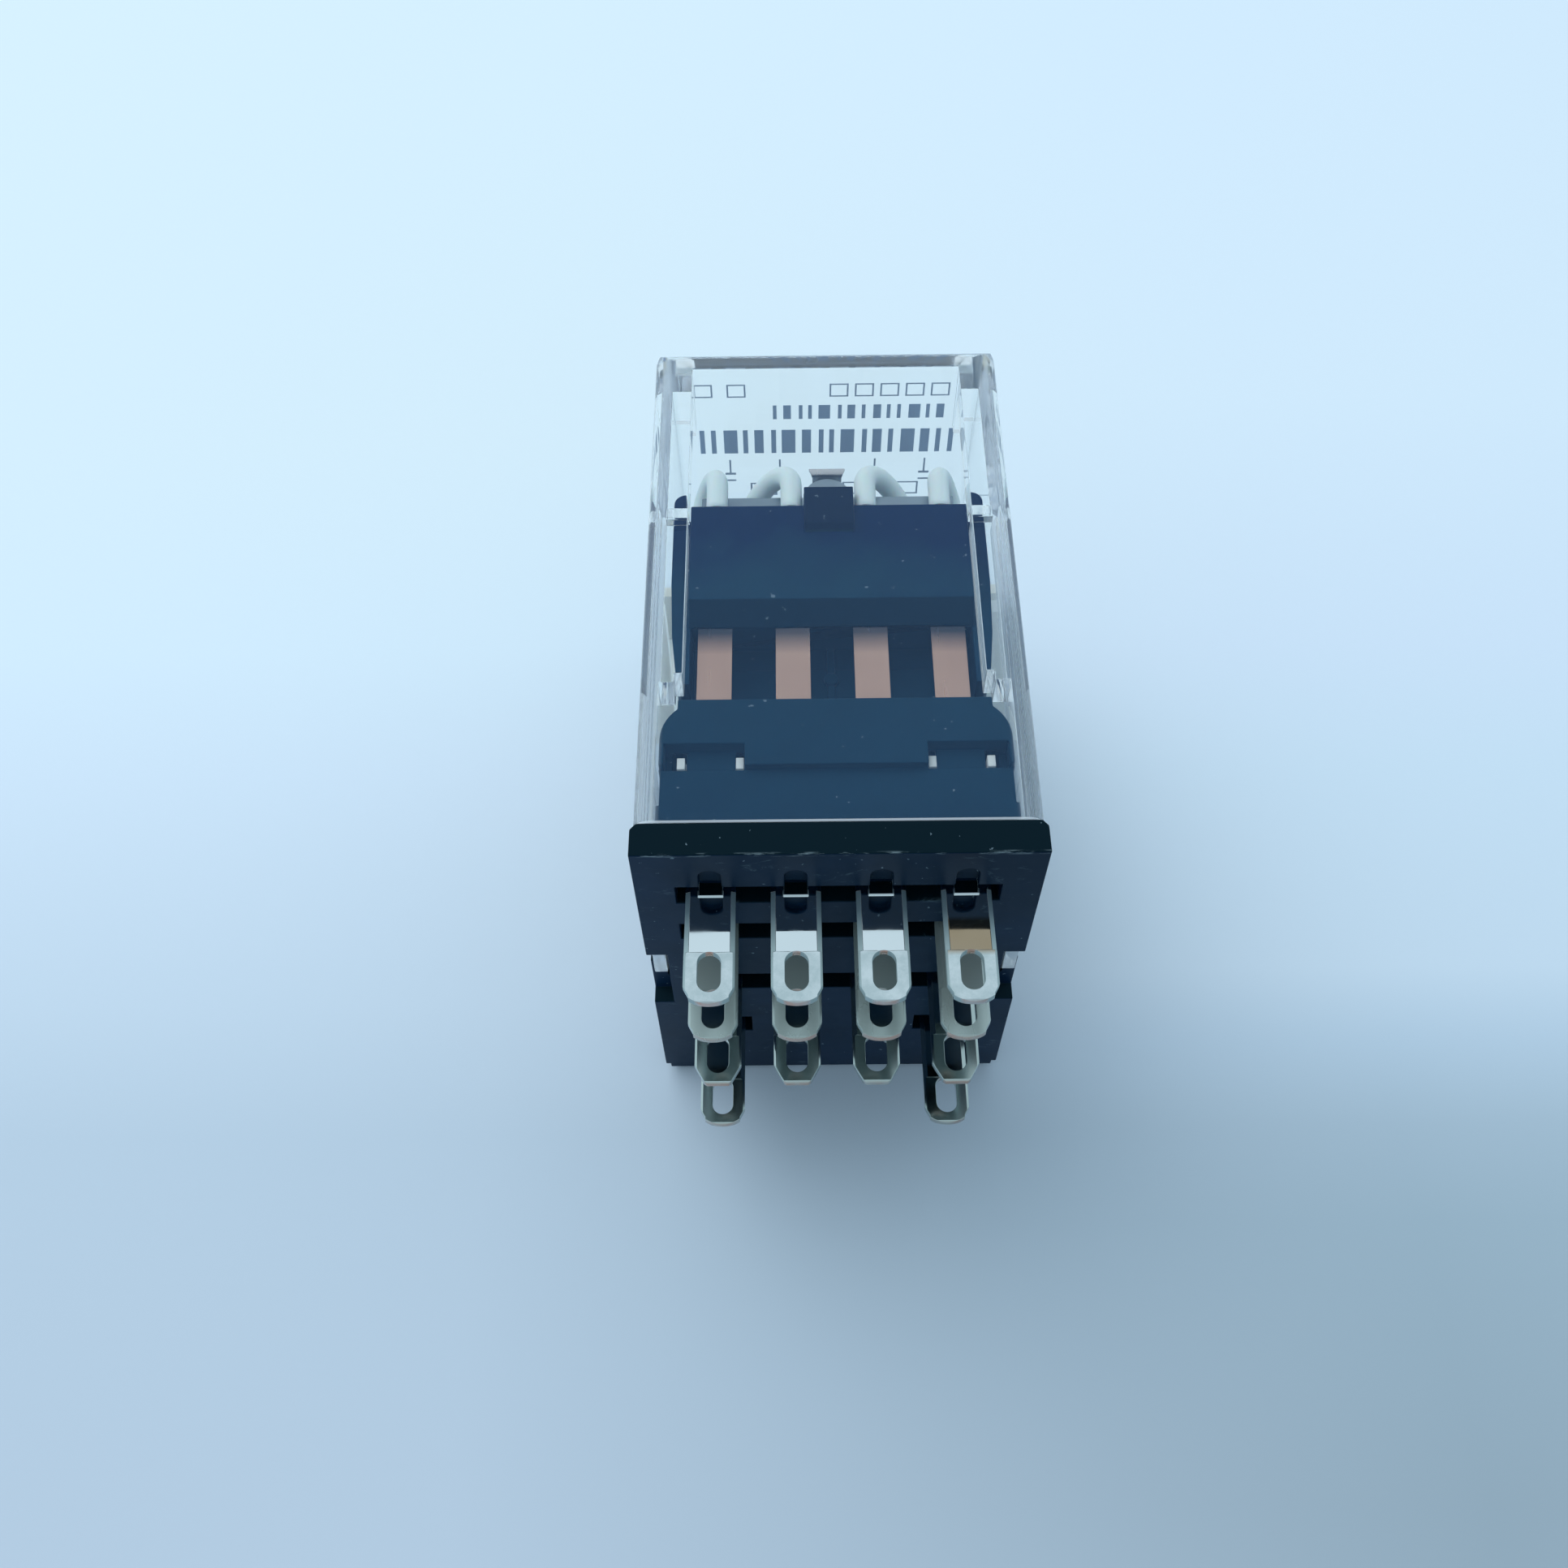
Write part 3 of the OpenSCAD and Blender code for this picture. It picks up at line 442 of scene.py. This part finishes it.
def tube(name, path, radius, m, sides=20):
    """round tube along a path; radius is a number or a function of 0..1; the ends are closed with flat caps"""
    bm = bmesh.new()
    n = len(path)
    up = Vector((1, 0, 0))
    rings = []
    T = [(path[min(i + 1, n - 1)] - path[max(i - 1, 0)]).normalized() for i in range(n)]
    a = (up - T[0] * up.dot(T[0])).normalized()
    if a.length < 0.5:
        a = Vector((0, 1, 0))
    for i in range(n):
        a = (a - T[i] * a.dot(T[i])).normalized()
        c = T[i].cross(a)
        r = radius(i / (n - 1)) if callable(radius) else radius
        rings.append([bm.verts.new((path[i] + (a * math.cos(q) + c * math.sin(q)) * r) * MM) for q in (2 * math.pi * k / sides for k in range(sides))])
    for r0, r1 in zip(rings, rings[1:]):
        for k in range(sides):
            bm.faces.new((r0[k], r0[(k + 1) % sides], r1[(k + 1) % sides], r1[k]))
    bm.faces.new(rings[0][::-1])
    bm.faces.new(rings[-1])
    for f in bm.faces:
        f.smooth = len(f.verts) == 4
    bm.normal_update()
    me = bpy.data.meshes.new(name)
    bm.to_mesh(me)
    bm.free()
    return link(me, name, m)


def ribbon(name, path, width, thick, m):
    """flat strip along a path in the Y-Z plane; width is a function of 0..1"""
    bm = bmesh.new()
    n = len(path)
    rows = []
    for i in range(n):
        t = (path[min(i + 1, n - 1)] - path[max(i - 1, 0)]).normalized()
        nn = Vector((1, 0, 0)).cross(t).normalized()
        w = width(i / (n - 1)) / 2
        row = []
        for sx, sn in ((-1, -1), (1, -1), (1, 1), (-1, 1)):
            row.append(bm.verts.new((path[i] + Vector((sx * w, 0, 0)) + nn * sn * thick / 2) * MM))
        rows.append(row)
    for a, b in zip(rows, rows[1:]):
        for k in range(4):
            bm.faces.new((a[k], a[(k + 1) % 4], b[(k + 1) % 4], b[k]))
    bm.faces.new(rows[0][::-1])
    bm.faces.new(rows[-1])
    bmesh.ops.recalc_face_normals(bm, faces=bm.faces)
    for f in bm.faces:
        f.smooth = True
    me = bpy.data.meshes.new(name)
    bm.to_mesh(me)
    bm.free()
    o = link(me, name, m)
    bv = o.modifiers.new("edge", "BEVEL")
    bv.width = thick * 0.18 * MM
    bv.segments = 2
    bv.limit_method = "ANGLE"
    bv.angle_limit = math.radians(50)
    wn = o.modifiers.new("flats", "WEIGHTED_NORMAL")
    wn.weight = 100
    return o


def P(x, y, z):
    return Vector((x, y + Y0, z))


# the sleeved leads, from the common blades over the armature plate to the springs
PITCH = 4.4
XS = [-1.5 * PITCH, -0.5 * PITCH, 0.5 * PITCH, 1.5 * PITCH]
for i in range(4):
    s = 1 if XS[i] > 0 else -1
    outer = i in (0, 3)
    xa = XS[i]
    xb = xa + s * (1.15 if outer else 2.6)
    xm = xb - s * (0.2 if outer else 0.6)
    za, zb, ys = 25.0, 21.75, 26.62
    pts = [P(xa, 24.64, za)]
    d = math.hypot(xb - xa, zb - za) / 2
    for k in range(0, 181, 20):
        c, h = math.cos(math.radians(k)), math.sin(math.radians(k))
        pts.append(P((xa + xb) / 2 - (xb - xa) / 2 * c, ys + 0.84 * d * h, (za + zb) / 2 - (zb - za) / 2 * c))
    pts += [P(xm, 22.8, 19.35), P(xa + s * 0.1, 18.6, 18.85), P(xa, 15.4, 18.6)]
    path = catmull(pts, 5)
    o = tube(f"sleeved_lead_{i + 1}", path, 0.64, SLEEVE, 24)
    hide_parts(f"lead_{i + 1}")
    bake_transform(o)
    # stranded end, soldered to the common blade
    e = tube(f"lead_end_{i + 1}", catmull([P(xa, 15.8, 18.62), P(xa, 15.0, 18.5), P(xa, 14.2, 18.26), P(xa, 13.4, 18.1)], 5),
             lambda t: 0.34 - 0.1 * t + 0.09 * math.sin(math.pi * min(1, t * 1.1)), SOLDER, 16)
    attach(e, "housing")

# return spring: one strip from the back of the yoke, round the armature's knee, to the lip over its tongue
key = [(18.2, 1.09), (22.5, 1.09), (25.9, 1.09), (26.75, 1.16), (27.08, 1.5), (27.13, 2.2), (27.13, 6), (27.13, 12), (27.13, 18), (27.13, 21.6), (27.2, 22.35), (27.5, 22.62),
       (28.1, 22.66), (28.42, 22.8), (28.51, 23.2), (28.5, 23.6), (28.56, 23.88), (28.72, 24.0), (28.92, 24.02)]
path = catmull([P(0, y, z) for y, z in key], 5)
total = len(path) - 1


def leaf_w(t):
    k = t * total / 5            # index along the key points
    if k < 1.2:
        return 5.2
    if k < 2.0:
        return 5.2 + (2.0 - 5.2) * (k - 1.2) / 0.8
    if k < 10:
        return 2.0
    if k < 15.5:
        return 1.78
    return 1.78 + 0.42 * min(1.0, (k - 15.5) / 2.0)


o = ribbon("return_leaf", path, leaf_w, 0.18, SPRING)
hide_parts("return_spring")
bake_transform(o)


# generic marks printed on the closed end: bars, frames and a plain wiring sketch
def plates(name, boxes, y, m, t=0.02):
    bm = bmesh.new()
    for x0, x1, z0, z1 in boxes:
        r = bmesh.ops.create_cube(bm, size=1.0)
        for v in r["verts"]:
            v.co = Vector(((x0 + x1) / 2 + v.co.x * (x1 - x0), y + Y0 + v.co.y * t, (z0 + z1) / 2 + v.co.z * (z1 - z0))) * MM
    me = bpy.data.meshes.new(name)
    bm.to_mesh(me)
    bm.free()
    o = link(me, name, m)
    bv = o.modifiers.new("corner", "BEVEL")
    bv.width = 0.008 * MM
    bv.segments = 1
    return o


def frame_box(x0, x1, z0, z1, t):
    return [(x0, x1, z0, z0 + t), (x0, x1, z1 - t, z1), (x0, x0 + t, z0 + t, z1 - t), (x1 - t, x1, z0 + t, z1 - t)]


rows = []
thin = []
for x0, x1 in ((-8.3, -7.1), (-6.2, -5.0), (0.3, 1.5), (1.9, 3.1), (3.5, 4.7), (5.1, 6.3), (6.7, 7.9)):
    thin += frame_box(x0, x1, 23.85, 24.95, 0.11)
# two rows of plain upright bars of mixed width, as on a scale
for z0, z1, xa, xb, ws in ((21.95, 23.15, -3.3, 7.7, (0.24, 0.5, 0.24, 0.24, 0.75, 0.24, 0.5)), (18.9, 21.0, -8.1, 8.6, (0.32, 0.32, 0.9, 0.32, 0.6, 0.32, 0.9, 0.6))):
    x, k = xa, 0
    while x + ws[k % len(ws)] < xb:
        rows.append((x, x + ws[k % len(ws)], z0, z1))
        x += ws[k % len(ws)] + (0.42, 0.5, 0.36)[k % 3]
        k += 1
for x0 in (-6.2, -2.9, 3.4, 6.7):
    thin += [(x0 - 0.06, x0 + 0.06, 17.1, 18.3), (x0 - 0.35, x0 + 0.35, 16.9, 17.1), (x0 - 0.35, x0 + 0.35, 16.3, 16.45)]
for x0 in (-7.4, -4.0, 2.2, 5.5):
    thin += frame_box(x0 - 0.9, x0 + 0.9, 14.9, 16.1, 0.12)
thin += [(-8.4, 8.4, 13.6, 13.72)] + frame_box(-2.2, 2.2, 9.6, 12.6, 0.14) + [(-4.6, -2.2, 11.05, 11.2), (2.2, 4.6, 11.05, 11.2)]
o = plates("end_marks_bold", rows, 35.8, INK)
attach(o, "housing")
o = plates("end_marks_fine", thin, 35.8, INK_LIGHT)
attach(o, "housing")

# ------------------------------------------------------------------ floor, light, camera
fl = bpy.data.meshes.new("floor")
bm = bmesh.new()
bmesh.ops.create_grid(bm, x_segments=8, y_segments=8, size=2.5)
bm.to_mesh(fl)
bm.free()
floor = bpy.data.objects.new("floor", fl)
bpy.context.scene.collection.objects.link(floor)
fm, fnt, fb = mat("floor_paper_painted_shadow", 0.85, (0.60, 0.78, 0.92), spec=0.1)
fn = noise(fnt, 1200, 4)
fx = axis(fnt, "X")
fy = maprange(fnt, axis(fnt, "Y"), 0.0, 1.0, -0.045, 0.055)
# painted shadow: the floor colour darkens towards the front and the right
fc = mixc(fnt, maprange(fnt, fx, 0.0, 1.0, -0.022, 0.036), ramp(fnt, fy, FLOOR_PAINTED_SHADE_L), ramp(fnt, fy, FLOOR_PAINTED_SHADE_R))
fnt.links.new(fc, fb.inputs["Base Color"])
bump(fnt, fb, fn.outputs["Fac"], 0.1, 0.00004)
fl.materials.append(fm)

w = bpy.data.worlds.new("studio")
bpy.context.scene.world = w
w.use_nodes = True
wn = w.node_tree
bg = wn.nodes["Background"]
tc = wn.nodes.new("ShaderNodeTexCoord")
sp = wn.nodes.new("ShaderNodeSeparateXYZ")
wn.links.new(tc.outputs["Generated"], sp.inputs[0])
# a wide soft sky: brightest over the back left, a little dimmer low down in front and on the right
k1 = maprange(wn, sp.outputs["Y"], 0.0, 1.0, -1.0, 0.8)
k2 = maprange(wn, sp.outputs["X"], 1.0, 0.0, -1.0, 1.0)
k3 = maprange(wn, sp.outputs["Z"], 0.0, 1.0, -0.1, 1.0)
kk = math_node(wn, "ADD", math_node(wn, "ADD", math_node(wn, "MULTIPLY", k1, 0.45), math_node(wn, "MULTIPLY", k2, 0.2)), math_node(wn, "MULTIPLY", k3, 0.35))
wc = ramp(wn, kk, [(0.15, SKY[0]), (0.6, SKY[1]), (1.0, SKY[2])])
wn.links.new(wc, bg.inputs["Color"])
bg.inputs["Strength"].default_value = 1.0


def area(name, loc, target, size, power, color=(1, 1, 1), size_y=None, glossy=True):
    d = bpy.data.lights.new(name, "AREA")
    d.energy = power
    d.color = color
    d.size = size
    if size_y:
        d.shape = "RECTANGLE"
        d.size_y = size_y
    o = bpy.data.objects.new(name, d)
    o.location = loc
    o.rotation_euler = (Vector(target) - Vector(loc)).to_track_quat("-Z", "Y").to_euler()
    o.visible_glossy = glossy
    o.visible_transmission = glossy
    bpy.context.scene.collection.objects.link(o)
    return o


area("key", (-0.45, 0.35, 0.75), (0, 0, 0.01), 0.9, KEY_W, (0.93, 0.97, 1.0), glossy=False)
N["case"].visible_shadow = False      # the clear cover lets the lamp through

# the camera stands where the photograph was taken from
el, az, roll = math.radians(57.821), math.radians(-0.406), math.radians(-0.928)
cam_d = bpy.data.cameras.new("view")
cam = bpy.data.objects.new("view", cam_d)
bpy.context.scene.collection.objects.link(cam)
cam_d.sensor_width = 36.0
cam_d.sensor_fit = "HORIZONTAL"
cam_d.lens = 1957.42 / 1932 * 36.0
fwd = Vector((math.sin(az) * math.cos(el), math.cos(az) * math.cos(el), -math.sin(el)))
right = Vector((math.cos(az), -math.sin(az), 0))
up = right.cross(fwd)
r2 = right * math.cos(roll) + up * math.sin(roll)
u2 = -right * math.sin(roll) + up * math.cos(roll)
rot = Matrix((r2, u2, -fwd)).transposed()
cam.matrix_world = Matrix.Translation(Vector((-2.444, -39.054 + Y0, 96.441)) * MM) @ rot.to_4x4()
cam_d.clip_start = 0.005
bpy.context.scene.camera = cam
bpy.context.scene.view_settings.view_transform = "Standard"

cyc = bpy.context.scene.cycles
cyc.max_bounces = 20
cyc.glossy_bounces = 12
cyc.transmission_bounces = 20
